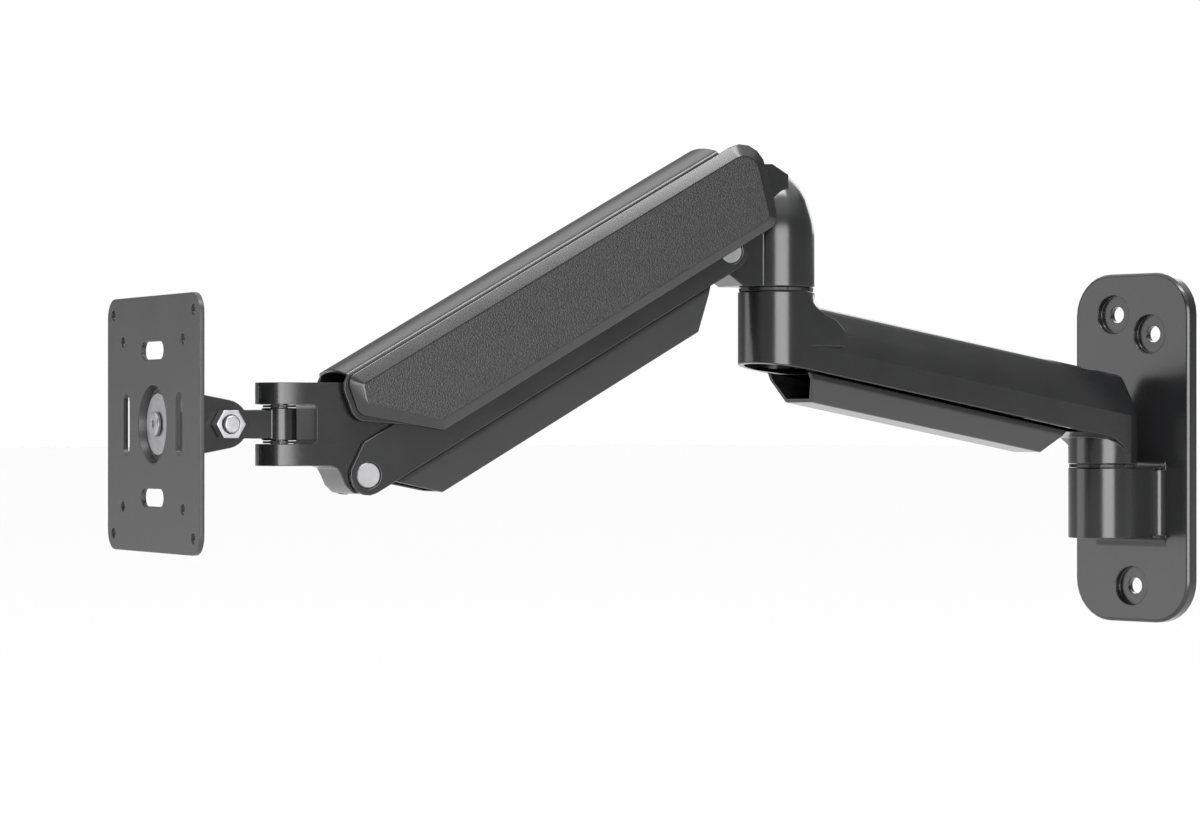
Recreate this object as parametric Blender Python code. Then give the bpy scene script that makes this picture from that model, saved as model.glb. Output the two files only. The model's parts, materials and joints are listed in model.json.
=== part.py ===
"""Wall-mounted gas-spring monitor arm, built as separate pieces.

World frame: metres, +Z up, origin in the middle of the wall plate's back face.
The wall is on the +Y side and the arm reaches out along -Y.
Sizes below are millimetres and degrees. Every piece is modelled in the frame of the
joint that carries it: x along the arm towards the screen, y across it, z up.
"""
import math

import bmesh
import bpy
from mathutils import Euler, Matrix, Vector

MM = 0.001

# ---------------------------------------------------------------- driving sizes
PLATE_HEIGHT = 190.0
PLATE_WIDTH = 77.0
PLATE_THICKNESS = 7.5
PLATE_CORNER = 23.0
PLATE_CHAMFER = 1.4
WALL_HOLES = [(-12.3, 72.8), (12.3, 61.8), (0.0, -75.4)]  # across, up
WALL_HOLE_RADIUS = 4.5
WALL_SINK_RADIUS = 10.5
WALL_SINK_DEPTH = 3.5

HUB_RADIUS = 18.75
HUB_STAND_OFF = 6.05        # plate front face to the nearest side of the hub
BRACKET_TOP = -10.9
BRACKET_HEIGHT = 37.7
BRACKET_FOOT = 5.0
RING_GAP = 2.4              # space between two hubs, filled by the notched ring

EXTENSION_LENGTH = 259.0    # wall hinge axis to elbow hinge axis
ELBOW_HUB_TOP = 77.1
BODY_BOTTOM = 2.8           # heights of the body's edges at the wall hinge axis
BODY_CREASE = 17.4
BODY_TOP = 39.6
BODY_CASTING_WALL = 3.0
BODY_TOP_HALF_WIDTH = 8.5
ELBOW_BODY_TOP = 72.75       # heights of the same edges at the elbow hinge axis
ELBOW_BODY_BOTTOM = 39.58

ELBOW_REST = -16.3          # swivel of the spring arm in the stored pose
SPRING_ARM_REST = 29.2      # slope of the spring arm below level in the stored pose
LINK_LENGTH = 219.5         # pin to pin, upper and lower link alike
LOWER_PIN = (33.3, 95.9)    # reach from the elbow axis, height
PIN_STEP = (-6.0, 33.0)     # lower pin to upper pin, reach and height
BRACKET_HALF = 12.0         # half thickness of the elbow and head brackets
ELBOW_DOME = [(1.0, 104.4), (0.976, 110.0), (0.917, 114.8), (0.795, 122.2), (0.672, 126.5), (0.523, 130.2),
              (0.267, 134.9), (0.0, 137.4)]    # share of the hub's radius, height

CHEEK_INNER = 12.4
CHEEK_OUTER = 14.2
SHELL_INNER = 14.5
SHELL_OUTER = 16.25
SHELL_TOP = 47.0            # above the lower pin line, at the rounded edge
SHELL_CROWN = 1.8
COVER_INNER = 16.55
COVER_RIM = 17.2
COVER_FACE = 20.2
COVER_WALL = 2.0
LINK_BOTTOM = 9.3
LINK_TOP = 14.4

# corners as (along the arm, above the lower pin line, corner radius)
HEAD_END = LINK_LENGTH - 14.1
COVER_POINT = LINK_LENGTH - 43.0
COVER_EDGE = [(COVER_POINT, 2.0, 2.0), (HEAD_END, 29.5, 5.5), (HEAD_END - 1.1, 39.7, 5.0),
              (-22.0, 31.0, 13.8), (-25.0, 5.0, 5.0)]
COVER_FLAT = [(COVER_POINT + 0.5, 6.7, 1.5), (HEAD_END - 2.2, 31.0, 2.8), (HEAD_END - 2.8, 37.4, 1.5),
              (-21.5, 30.5, 8.6), (-21.0, 8.4, 3.6)]
SHELL_WALL = [(COVER_POINT + 1.5, 5.5, 3.0), (HEAD_END, 29.5, 8.1), (HEAD_END - 0.4, 38.0, 7.4),
              (-20.5, 31.0, 11.5), (-20.5, 14.0, 8.0)]
SHELL_START = -15.5
SHELL_END = HEAD_END + 2.0

PAN_REACH = 44.2            # upper head pin to the pan axis
PAN_HEIGHT = -9.6           # centre of the knuckle from the upper head pin
CLEVIS_HEIGHT = 38.0
WINDOW_HEIGHT = 18.0
WINDOW_BACK = 13.3
EAR_RADIUS = 11.0
KNUCKLE_RADIUS = 8.0
TILT_REACH = 32.0           # pan axis to tilt axis
PAN_PIN_RADIUS = 4.0
PAN_WASHER = 1.0
TILT_BOLT_RADIUS = 4.0
TILT_BARREL_RADIUS = 9.0
TILT_BARREL_HALF = 9.0
EAR_INNER = 10.6
EAR_OUTER = 14.6
TILT_EAR_RADIUS = 11.0

PLATE_REACH = 27.0          # tilt axis to the back of the screen plate
VESA_SIZE = 115.0
VESA_THICKNESS = 2.6
VESA_CORNER = 9.0
VESA_PITCHES = (75.0, 100.0)
VESA_HOLE = 2.4
DISH_DEPTH = 4.2            # the plate's middle stands back so that its screw stays below its face
DISH_RADIUS = 16.5
BOSS_RADIUS = 9.0
YOKE_BASE_RADIUS = 20.0
YOKE_BASE_THICKNESS = 4.0
TURNING_WASHER = 4.4
CLAMP_THICKNESS = 1.2
CENTRE_HEAD = 2.0

PIN_RADIUS = 3.5
PIN_HEAD_RADIUS = 5.9
SLEEVE_RADIUS = 5.7
POST_RADIUS = 9.0
WALL_POST_TOP = 26.0
ELBOW_POST_TOP = 112.0
ELBOW_RECESS_TOP = 53.0
BUSH_RADIUS = 11.4
BUSH_LENGTH = 12.0
LOWER_BUSH_LENGTH = 10.0
LOWER_SEAT_RADIUS = 14.0
LOWER_SEAT_DEPTH = 9.0
FLANGE = 1.5
NOTCHES = 8
SLOT_HALF = 6.5             # slot between the ears, for the gas spring's eye
LINK_FLANGE_RADIUS = 6.9
RUN = 0.2                   # running clearance on radius
SEAT = 0.3                  # gap left between pieces that rest on each other

TROUGH_WALL = 1.8

ROUND = 32                  # sides of a hub
INNER_ROUND = 20            # sides of posts, bushes and discs inside a hub
SMALL_ROUND = 16            # sides of pins and small fasteners

# ------------------------------------------------------------ sizes that follow
HUB_OFFSET = PLATE_THICKNESS + HUB_STAND_OFF + HUB_RADIUS
EXTENSION_RISE = (ELBOW_BODY_TOP - BODY_TOP) / EXTENSION_LENGTH
BOTTOM_RISE = (ELBOW_BODY_BOTTOM - BODY_BOTTOM) / EXTENSION_LENGTH
BRACKET_BOTTOM = BRACKET_TOP - BRACKET_HEIGHT
ARM_HUB_BOTTOM = BRACKET_TOP + RING_GAP
ELBOW_BRACKET_BOTTOM = ELBOW_HUB_TOP + RING_GAP
SLOPE = math.radians(SPRING_ARM_REST)
UPPER_PIN = (LOWER_PIN[0] + PIN_STEP[0], LOWER_PIN[1] + PIN_STEP[1])
DISH_BACK = PLATE_REACH - DISH_DEPTH
YOKE_BASE = DISH_BACK - TURNING_WASHER - YOKE_BASE_THICKNESS - 2 * SEAT


def along_arm(reach, height):
    """Turn a level offset into one along and above the sloping spring arm."""
    return (reach * math.cos(SLOPE) - height * math.sin(SLOPE),
            reach * math.sin(SLOPE) + height * math.cos(SLOPE))


PIN_SHIFT = along_arm(*PIN_STEP)      # lower pin to upper pin, in the arm's own directions
ANCHOR = (-13.0, 9.5)                 # gas spring anchor on the elbow bracket, from the lower pin
TRUNNION = (LINK_LENGTH - 41.5, 31.3)              # gas spring rear eye, from the lower elbow pin
SPRING_RADIUS = 9.5
SPRING_BORE = 7.5
ROD_RADIUS = 3.5
ANCHOR_PIN_RADIUS = 3.0
GLAND_FROM_ANCHOR = 28.5
PISTON_FROM_GLAND = 40.0
TRUNNION_RADIUS = 3.5
EYE_HALF = 5.4
EYE_SLOT = (-1.4, 4.4)                # heights the anchor pin reaches in the rod's eye
EYE_SLOT_RADIUS = 3.9
EYE_RADIUS = 6.6
SPRING_EYE_RADIUS = 5.6
CARRIAGE = ((TRUNNION[0] - 7.5, TRUNNION[0] + 8.0), (24.0, 44.2))
TENSION_SCREW_HEAD = TRUNNION[0] + 17.0
TENSION_SCREW_LENGTH = 26.4
TENSION_SCREW_HEIGHT = 40.3
TENSION_SCREW_RADIUS = 2.5
SPRING_ANGLE = math.atan2(TRUNNION[1] - ANCHOR[1], TRUNNION[0] - ANCHOR[0])
SPRING_SPAN = math.hypot(TRUNNION[1] - ANCHOR[1], TRUNNION[0] - ANCHOR[0])

MATERIALS = {
    "casting": ((0.045, 0.047, 0.05), 0.32, 0.55),
    "plastic": ((0.03, 0.03, 0.032), 0.5, 0.0),
    "grained": ((0.022, 0.022, 0.024), 0.7, 0.0),
    "steel": ((0.6, 0.6, 0.62), 0.3, 1.0),
    "cylinder": ((0.02, 0.02, 0.022), 0.25, 0.0),
    "nylon": ((0.02, 0.02, 0.021), 0.55, 0.0),
    "zinc": ((0.35, 0.35, 0.37), 0.4, 1.0),
}


# ---------------------------------------------------------------- modelling aids
def prism(outline, low, high, direction="z"):
    """Extrude a flat outline. direction z takes (x, y), y takes (x, z), x takes (y, z)."""
    bm = bmesh.new()
    place = {
        "z": lambda a, b, c: (a, b, c),
        "y": lambda a, b, c: (a, c, b),
        "x": lambda a, b, c: (c, a, b),
    }[direction]
    face = bm.faces.new([bm.verts.new(place(a, b, low)) for a, b in outline])
    grown = bmesh.ops.extrude_face_region(bm, geom=[face])
    moved = [v for v in grown["geom"] if isinstance(v, bmesh.types.BMVert)]
    shift = Vector(place(0, 0, high)) - Vector(place(0, 0, low))
    bmesh.ops.translate(bm, verts=moved, vec=shift)
    bmesh.ops.recalc_face_normals(bm, faces=bm.faces)
    return bm


def box(x_range, y_range, z_range):
    outline = [(x_range[0], y_range[0]), (x_range[1], y_range[0]),
               (x_range[1], y_range[1]), (x_range[0], y_range[1])]
    return prism(outline, *z_range)


def circle(centre, radius, count=SMALL_ROUND, start=0.0, end=360.0):
    """Points on a circle, or on the arc from start to end in degrees."""
    full = abs(end - start - 360.0) < 1e-6
    steps = count if full else count + 1
    angles = [math.radians(start + (end - start) * i / count) for i in range(steps)]
    return [(centre[0] + radius * math.cos(a), centre[1] + radius * math.sin(a)) for a in angles]


def hull(*groups):
    """Convex outline round groups of points, counter-clockwise."""
    points = sorted({(round(x, 5), round(y, 5)) for group in groups for x, y in group})

    def chain(ordered):
        line = []
        for p in ordered:
            while len(line) > 1:
                (ax, ay), (bx, by) = line[-2:]
                if (bx - ax) * (p[1] - ay) - (by - ay) * (p[0] - ax) > 1e-6:
                    break
                line.pop()
            line.append(p)
        return line[:-1]

    return chain(points) + chain(points[::-1])


def rounded_hull(corners, grow=0.0, count=SMALL_ROUND):
    """Convex outline round circles given as (x, y, radius)."""
    return hull(*[circle((x, y), r + grow, count) for x, y, r in corners])


def rounded_rectangle(width, height, corner, count=8):
    half_w = width / 2 - corner
    half_h = height / 2 - corner
    points = []
    for sign_x, sign_y, start in ((1, 1, 0), (-1, 1, 90), (-1, -1, 180), (1, -1, 270)):
        points += circle((sign_x * half_w, sign_y * half_h), corner, count, start, start + 90)
    return points


def rod(radius, low, high, centre=(0.0, 0.0), direction="z", count=SMALL_ROUND):
    return prism(circle(centre, radius, count), low, high, direction)


def turned(profile, count=ROUND, centre=(0.0, 0.0)):
    """Turn a closed (radius, height) profile round the z axis."""
    bm = bmesh.new()
    verts = [bm.verts.new((r, 0.0, z)) for r, z in profile]
    edges = [bm.edges.new((verts[i - 1], verts[i])) for i in range(len(verts))]
    bmesh.ops.spin(bm, geom=verts + edges, cent=(0, 0, 0), axis=(0, 0, 1),
                   angle=math.tau, steps=count, use_merge=True)
    bmesh.ops.remove_doubles(bm, verts=bm.verts, dist=1e-4)
    flat = [e for e in bm.edges if not e.link_faces]
    bmesh.ops.delete(bm, geom=flat, context="EDGES")
    bmesh.ops.recalc_face_normals(bm, faces=bm.faces)
    bmesh.ops.translate(bm, verts=bm.verts, vec=(centre[0], centre[1], 0.0))
    return bm


def convex(*rings):
    """Convex solid round rings of 3D points."""
    bm = bmesh.new()
    verts = [bm.verts.new(p) for ring in rings for p in ring]
    result = bmesh.ops.convex_hull(bm, input=verts)
    loose = [v for v in result["geom_interior"] if isinstance(v, bmesh.types.BMVert)]
    bmesh.ops.delete(bm, geom=loose, context="VERTS")
    bmesh.ops.dissolve_limit(bm, angle_limit=math.radians(0.5), verts=bm.verts, edges=bm.edges)
    bmesh.ops.recalc_face_normals(bm, faces=bm.faces)
    return bm


def turn(bm, matrix):
    bmesh.ops.transform(bm, matrix=matrix, verts=bm.verts)
    return bm


def across(bm):
    """Lay a solid turned about z down, so that its axis runs across the arm."""
    return turn(bm, Matrix.Rotation(math.radians(-90), 4, "X"))


def lengthwise(bm):
    """Lay a solid turned about z down, so that its axis runs along the arm."""
    return turn(bm, Matrix.Rotation(math.radians(90), 4, "Y"))


def scratch(bm):
    mesh = bpy.data.meshes.new("scratch")
    bm.to_mesh(mesh)
    bm.free()
    item = bpy.data.objects.new("scratch", mesh)
    bpy.context.scene.collection.objects.link(item)
    return item


def combine(base, tool, operation):
    """Exact Boolean of two solids; both are used up."""
    target = scratch(base)
    other = scratch(tool)
    boolean = target.modifiers.new("boolean", "BOOLEAN")
    boolean.operation = operation
    boolean.object = other
    boolean.solver = "EXACT"
    bpy.context.view_layer.update()
    graph = bpy.context.evaluated_depsgraph_get()
    mesh = bpy.data.meshes.new_from_object(target.evaluated_get(graph))
    result = bmesh.new()
    result.from_mesh(mesh)
    for item in (target, other):
        data = item.data
        bpy.data.objects.remove(item)
        bpy.data.meshes.remove(data)
    bpy.data.meshes.remove(mesh)
    bmesh.ops.remove_doubles(result, verts=result.verts, dist=2e-4)
    bmesh.ops.dissolve_degenerate(result, dist=2e-4, edges=result.edges)
    return result


def cut(base, *tools):
    for tool in tools:
        base = combine(base, tool, "DIFFERENCE")
    return base


def join(base, *others):
    for other in others:
        base = combine(base, other, "UNION")
    return base


def keep(base, tool):
    return combine(base, tool, "INTERSECT")


def frame(name, parent, location, turn_y=0.0, turn_z=0.0):
    """Empty that stands on a joint's axis."""
    empty = bpy.data.objects.new(name, None)
    empty.empty_display_size = 0.02
    empty.parent = parent
    empty.location = Vector(location) * MM
    empty.rotation_euler = Euler((0.0, math.radians(turn_y), math.radians(turn_z)))
    bpy.context.scene.collection.objects.link(empty)
    return empty


def node(name, bm, parent, finish):
    """Store a solid, modelled in millimetres in its parent's frame, as a named object."""
    bmesh.ops.scale(bm, vec=(MM, MM, MM), verts=bm.verts)
    mesh = bpy.data.meshes.new(name)
    bm.to_mesh(mesh)
    bm.free()
    mesh.shade_smooth()
    mesh.set_sharp_from_angle(angle=math.radians(30))
    mesh.materials.append(finishes[finish])
    item = bpy.data.objects.new(name, mesh)
    item.parent = parent
    bpy.context.scene.collection.objects.link(item)
    return item


def make_finish(name, colour, roughness, metallic):
    material = bpy.data.materials.new(name)
    material.use_nodes = True
    shader = material.node_tree.nodes["Principled BSDF"]
    shader.inputs["Base Color"].default_value = (*colour, 1.0)
    shader.inputs["Roughness"].default_value = roughness
    shader.inputs["Metallic"].default_value = metallic
    return material


# ------------------------------------------------------------------- wall bracket
def wall_bracket():
    """Plate against the wall with the hinge hub cast on; local x leaves the wall."""
    edge = rounded_rectangle(PLATE_WIDTH, PLATE_HEIGHT, PLATE_CORNER)
    front = rounded_rectangle(PLATE_WIDTH - 2 * PLATE_CHAMFER, PLATE_HEIGHT - 2 * PLATE_CHAMFER,
                              PLATE_CORNER - PLATE_CHAMFER)
    levels = ((edge, 0.0), (edge, PLATE_THICKNESS - PLATE_CHAMFER), (front, PLATE_THICKNESS))
    plate = convex(*[[(x, y, z) for y, z in outline] for outline, x in levels])

    hub = rod(HUB_RADIUS, BRACKET_BOTTOM, BRACKET_TOP, (HUB_OFFSET, 0.0), count=ROUND)
    foot = BRACKET_FOOT
    base = PLATE_THICKNESS - 1.0
    sides = [(HUB_OFFSET, HUB_RADIUS), (PLATE_THICKNESS + foot, HUB_RADIUS)]
    sides += circle((PLATE_THICKNESS + foot, HUB_RADIUS + foot), foot, 5, 270, 180)[1:]
    sides += [(base, HUB_RADIUS + foot)]
    outline = sides + [(x, -y) for x, y in sides[::-1]]
    block = prism(outline, BRACKET_BOTTOM, BRACKET_TOP)
    step = [(PLATE_THICKNESS + foot, BRACKET_BOTTOM + 1.0), (PLATE_THICKNESS + foot, BRACKET_BOTTOM)]
    step += circle((PLATE_THICKNESS + foot, BRACKET_BOTTOM - foot), foot, 5, 90, 180)[1:]
    step += [(base, BRACKET_BOTTOM - foot), (base, BRACKET_BOTTOM + 1.0)]
    skirt = prism(step, -HUB_RADIUS - foot + 0.5, HUB_RADIUS + foot - 0.5, "y")
    rise = [(x, 2 * BRACKET_TOP - BRACKET_HEIGHT - z) for x, z in step]
    crown = prism(rise, -HUB_RADIUS - foot + 0.5, HUB_RADIUS + foot - 0.5, "y")
    body = join(block, hub, skirt, crown, plate)

    tools = [rod(BUSH_RADIUS + SEAT, BRACKET_BOTTOM - 5, BRACKET_TOP + 5, (HUB_OFFSET, 0.0), count=ROUND),
             rod(LOWER_SEAT_RADIUS, BRACKET_BOTTOM - 5, BRACKET_BOTTOM + LOWER_SEAT_DEPTH,
                 (HUB_OFFSET, 0.0), count=ROUND)]
    for y, z in WALL_HOLES:
        tools.append(rod(WALL_HOLE_RADIUS, -5, PLATE_THICKNESS + 5, (y, z), "x"))
        tools.append(rod(WALL_SINK_RADIUS, PLATE_THICKNESS - WALL_SINK_DEPTH, PLATE_THICKNESS + 5,
                         (y, z), "x", 32))
    return cut(body, *tools)


# ------------------------------------------------- hinge posts, bushes and washers
def notched_bush(hub_top):
    """Nylon bush whose flange is the notched ring seen between two hubs."""
    low = hub_top + SEAT
    high = hub_top + RING_GAP - SEAT
    rim = HUB_RADIUS - 0.5
    bore = POST_RADIUS + RUN
    profile = [(bore, hub_top - BUSH_LENGTH), (BUSH_RADIUS, hub_top - BUSH_LENGTH),
               (BUSH_RADIUS, low), (rim, low), (rim, high), (bore, high)]
    bush = turned(profile)
    half = (low + high) / 2
    for i in range(NOTCHES):
        notch = box((rim - 1.6, rim + 4), (-3.2, 3.2), (half - 0.45, high + 1))
        spin = Matrix.Rotation(math.tau * (i + 0.5) / NOTCHES, 4, "Z")
        bush = cut(bush, turn(notch, spin))
    return bush


def lower_bush(seat):
    """Flanged nylon bush pressed up into the bottom of a hub; seat is the hub's face."""
    bore = POST_RADIUS + RUN
    profile = [(bore, seat - FLANGE - SEAT), (LOWER_SEAT_RADIUS - 0.5, seat - FLANGE - SEAT),
               (LOWER_SEAT_RADIUS - 0.5, seat - SEAT), (BUSH_RADIUS, seat - SEAT),
               (BUSH_RADIUS, seat + LOWER_BUSH_LENGTH), (bore, seat + LOWER_BUSH_LENGTH)]
    return turned(profile, INNER_ROUND)


def pivot_post(low, high):
    """Steel post with a chamfered top and a screw hole in its bottom end."""
    r = POST_RADIUS
    profile = [(4.3, low), (r, low), (r, high - 1), (r - 1, high), (0, high), (0, low + 26), (4.3, low + 26)]
    return turned(profile, INNER_ROUND)


def retaining_washer(top):
    profile = [(4.4, top - FLANGE), (13.0, top - FLANGE), (13.0, top), (4.4, top)]
    return turned(profile, INNER_ROUND)


def retaining_screw(under_head):
    """Pan-head screw from below, with a hexagon socket."""
    profile = [(0, under_head - 3.2), (6.2, under_head - 3.2), (7.0, under_head - 2.4), (7.0, under_head),
               (4.0, under_head), (4.0, under_head + 22), (3.2, under_head + 23), (0, under_head + 23)]
    socket = rod(2.9, under_head - 6, under_head - 1.0, count=6)
    return cut(turned(profile, SMALL_ROUND), socket)


# ---------------------------------------------------------------- extension arm
def stadium(half_width, length, count=ROUND):
    """Outline round the two hinge axes with a given half width."""
    turns = count // 2
    return (circle((0.0, 0.0), half_width, turns, 90, 270)
            + circle((length, 0.0), half_width, turns, -90, 90))


def body_envelope(inset=0.0):
    """Outer form of the extension arm: upright sides to the crease, then drawn in to the top."""
    rise = BODY_TOP - BODY_CREASE
    shoulder = BODY_TOP_HALF_WIDTH + 2.6
    levels = [(HUB_RADIUS, None), (HUB_RADIUS, 0.0), ((HUB_RADIUS + shoulder) / 2 + 0.3, 0.46),
              (shoulder, 0.88), (BODY_TOP_HALF_WIDTH + 1.5, 0.96), (BODY_TOP_HALF_WIDTH, 1.0)]
    bm = bmesh.new()
    loops = []
    for half_width, share in levels:
        ring = []
        for x, y in stadium(half_width - inset, EXTENSION_LENGTH):
            z = -40.0 if share is None else (BODY_CREASE + rise * share - inset * (share > 0.5)
                                             + EXTENSION_RISE * x)
            ring.append(bm.verts.new((x, y, z)))
        loops.append([bm.edges.new((ring[i - 1], ring[i])) for i in range(len(ring))])
    for below, above in zip(loops, loops[1:]):
        bmesh.ops.bridge_loops(bm, edges=below + above)
    bmesh.ops.contextual_create(bm, geom=loops[0])
    bmesh.ops.contextual_create(bm, geom=loops[-1])
    bmesh.ops.recalc_face_normals(bm, faces=bm.faces)
    return bm


def body_side():
    """Side view of the extension arm's body, with the drop round the wall hub."""
    far = EXTENSION_LENGTH + HUB_RADIUS + 5
    points = [(far, BODY_BOTTOM + BOTTOM_RISE * far), (far, 100.0), (-30.0, 100.0), (-30.0, BODY_BOTTOM)]
    return points + [(-8.0, -1.3), (-4.0, -3.5), (3.0, -2.7), (7.5, 1.8), (13.0, 4.9), (21.0, 6.5)]


def extension_arm():
    length = EXTENSION_LENGTH
    side = prism(body_side(), -30, 30, "y")
    body = keep(body_envelope(), side)
    fillet = 12.5
    top = ELBOW_HUB_TOP
    low = BODY_CREASE + EXTENSION_RISE * length
    curve = [(HUB_RADIUS - 2, low), (HUB_RADIUS - 2, top - 0.6), (HUB_RADIUS, top - 0.6)]
    curve += circle((HUB_RADIUS + fillet, top - 0.6), fillet, 8, 180, 262)[1:]
    curve += [(HUB_RADIUS + fillet + 4, top - fillet - 6), (HUB_RADIUS + fillet + 4, low)]
    skirt = turned(curve, ROUND, (length, 0.0))
    skirt = keep(skirt, box((length - 60, length), (-HUB_RADIUS, HUB_RADIUS), (0, 100)))
    elbow_hub = rod(HUB_RADIUS, 20.0, ELBOW_HUB_TOP, (length, 0.0), count=ROUND)
    below = prism([(-60, BODY_BOTTOM - 60 * BOTTOM_RISE), (length + 60, BODY_BOTTOM + BOTTOM_RISE * (length + 60)),
                   (length + 60, -60), (-60, -60)], -40, 40, "y")
    elbow_hub = cut(elbow_hub, below)
    wall_hub = rod(HUB_RADIUS, ARM_HUB_BOTTOM, BODY_CREASE - 4, count=ROUND)
    body = join(body, skirt, elbow_hub, wall_hub)

    hollow = body_envelope(BODY_CASTING_WALL)
    hollow = keep(hollow, box((HUB_RADIUS + 5, length - HUB_RADIUS - 4), (-30, 30), (-60, 100)))
    recess_top = ELBOW_RECESS_TOP
    return cut(body, hollow,
               rod(HUB_RADIUS - 3, 0, recess_top, (length, 0.0), count=ROUND),
               rod(BUSH_RADIUS + SEAT, 10, 100, (length, 0.0), count=ROUND),
               rod(POST_RADIUS + SEAT, -40, WALL_POST_TOP + SEAT, count=ROUND))


def trough(start, end, drop, top_half, bottom_half, lip, start_run, end_run, rise):
    """Cable cover: an open-topped channel with slanted walls, open at both slanted ends."""
    def section(half_top, half_bottom, top, bottom):
        return [(half_top, top), (half_top, -lip), (half_bottom, bottom),
                (-half_bottom, bottom), (-half_top, -lip), (-half_top, top)]

    wall = TROUGH_WALL
    outer = prism(section(top_half, bottom_half, 0.0, -drop), start - 5, end + 5, "x")
    inner = prism(section(top_half - wall, bottom_half - wall * 0.7, 5.0, -drop + wall),
                  start - 9, end + 9, "x")
    ends = [(start, 0.5), (start + start_run, -drop - 0.5), (end - end_run, -drop - 0.5), (end, 0.5)]
    solid = keep(cut(outer, inner), prism(ends, -40, 40, "y"))
    for v in solid.verts:
        v.co.z += rise * v.co.x
    return solid


def extension_cable_cover():
    solid = trough(start=48.0, end=EXTENSION_LENGTH - 8.5, drop=13.8, top_half=14.4, bottom_half=8.8, lip=3.4,
                   start_run=17.0, end_run=8.0, rise=BOTTOM_RISE)
    bmesh.ops.translate(solid, verts=solid.verts, vec=(0, 0, BODY_BOTTOM - SEAT))
    return solid


# ---------------------------------------------------------------- elbow bracket
def elbow_bracket():
    """Hub on the elbow hinge with two ears that carry both links and the gas spring."""
    bottom = ELBOW_BRACKET_BOTTOM
    r = HUB_RADIUS
    hub = turned([(0.0, bottom), (r, bottom)] + [(r * share, z) for share, z in ELBOW_DOME])
    ears = hull([(0.0, bottom), (25.8, bottom), (0.0, 134.0), (9.0, 139.0)],
                circle(LOWER_PIN, 9.5), circle(UPPER_PIN, 9.5))
    body = join(hub, prism(ears, -BRACKET_HALF, BRACKET_HALF, "y"))
    for side in (-1, 1):
        flat = [(r + 2, 127.5), (9.5, 125.0), (-9.0, 113.5), (-16.0, 113.5), (-16.0, 150.0), (r + 2, 150.0)]
        body = cut(body, prism(flat, *sorted((side * (COVER_INNER - 0.45), side * 30)), "y"))
    anchor = anchor_on_bracket()
    return cut(body,
               box((15.5, 80), (-SLOT_HALF, SLOT_HALF), (88.5, 160)),
               rod(SLEEVE_RADIUS + RUN, -30, 30, LOWER_PIN, "y"),
               rod(SLEEVE_RADIUS + RUN, -30, 30, UPPER_PIN, "y"),
               rod(ANCHOR_PIN_RADIUS + RUN, -30, 30, anchor, "y"),
               rod(POST_RADIUS + SEAT, 60, ELBOW_POST_TOP + SEAT, count=ROUND))


def anchor_on_bracket():
    s, v = ANCHOR
    return (LOWER_PIN[0] + s * math.cos(SLOPE) + v * math.sin(SLOPE),
            LOWER_PIN[1] - s * math.sin(SLOPE) + v * math.cos(SLOPE))


# ------------------------------------------------------------- link pins, bushes
def link_pin(half_shank, half_length):
    """Riveted pin with a flat head at each end, across the arm."""
    profile = [(0, -half_length), (PIN_HEAD_RADIUS - 0.4, -half_length),
               (PIN_HEAD_RADIUS, -half_length + 0.4), (PIN_HEAD_RADIUS, -half_shank),
               (PIN_RADIUS, -half_shank)]
    profile += [(r, -z) for r, z in profile[::-1]]
    return across(turned(profile, SMALL_ROUND))


def bush(side, inner_end, outer_end, flange):
    """Nylon sleeve in one ear or one side of a bracket; a flange spaces out the link."""
    bore = PIN_RADIUS + RUN
    profile = [(bore, inner_end), (SLEEVE_RADIUS, inner_end)]
    if flange:
        profile += [(SLEEVE_RADIUS, BRACKET_HALF + SEAT), (LINK_FLANGE_RADIUS, BRACKET_HALF + SEAT),
                    (LINK_FLANGE_RADIUS, outer_end)]
    else:
        profile += [(SLEEVE_RADIUS, outer_end)]
    profile += [(bore, outer_end)]
    return to_side(across(turned(profile, SMALL_ROUND)), side)


def to_side(bm, side):
    """Turn a solid made for the +y side over to the other side."""
    return bm if side > 0 else turn(bm, Matrix.Rotation(math.pi, 4, "Z"))


# -------------------------------------------------------------------- lower link
def lower_arm_link():
    """Folded steel channel under the arm, with round ends on its two pins."""
    length = LINK_LENGTH
    outline = rounded_hull([(0, 0, LINK_BOTTOM), (length, 0, LINK_BOTTOM),
                            (10.0, LINK_TOP - 5, 5.0), (length - 6.5, LINK_TOP - 5, 5.0)])
    body = prism(outline, -CHEEK_OUTER, CHEEK_OUTER, "y")
    web = CHEEK_OUTER - CHEEK_INNER
    body = cut(body,
               box((-30, length + 30), (-CHEEK_INNER, CHEEK_INNER), (-LINK_BOTTOM + web, 40)),
               box((-30, 12.0), (-CHEEK_INNER, CHEEK_INNER), (-30, 40)),
               box((length - 15.0, length + 30), (-CHEEK_INNER, CHEEK_INNER), (-30, 40)))
    for x in (0.0, length):
        body = cut(body, rod(PIN_HEAD_RADIUS + RUN, -30, 30, (x, 0.0), "y"))
    return body


def spring_cable_cover():
    solid = trough(start=16.5, end=LINK_LENGTH - 10.5, drop=17.0, top_half=12.0, bottom_half=9.2, lip=3.0,
                   start_run=16.5, end_run=21.0, rise=0.0)
    bmesh.ops.translate(solid, verts=solid.verts, vec=(0, 0, -LINK_BOTTOM - SEAT))
    return solid


# -------------------------------------------------------------------- upper link
def shell_section(inset):
    """Cross-section of the upper channel: upright sides, rounded edges, crowned top."""
    half = SHELL_OUTER - inset
    corner = max(2.6 - inset, 0.6)
    edge = SHELL_TOP - inset
    points = [(half, -20.0), (half, edge - corner)]
    points += circle((half - corner, edge - corner), corner, 4, 0, 70)[1:]
    span = half - corner
    for i in range(1, 12):
        y = span - 2 * span * i / 12
        points.append((y, edge + SHELL_CROWN * (1 - (y / span) ** 2)))
    points += [(-y, z) for y, z in points[:6][::-1]]
    return points


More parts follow.
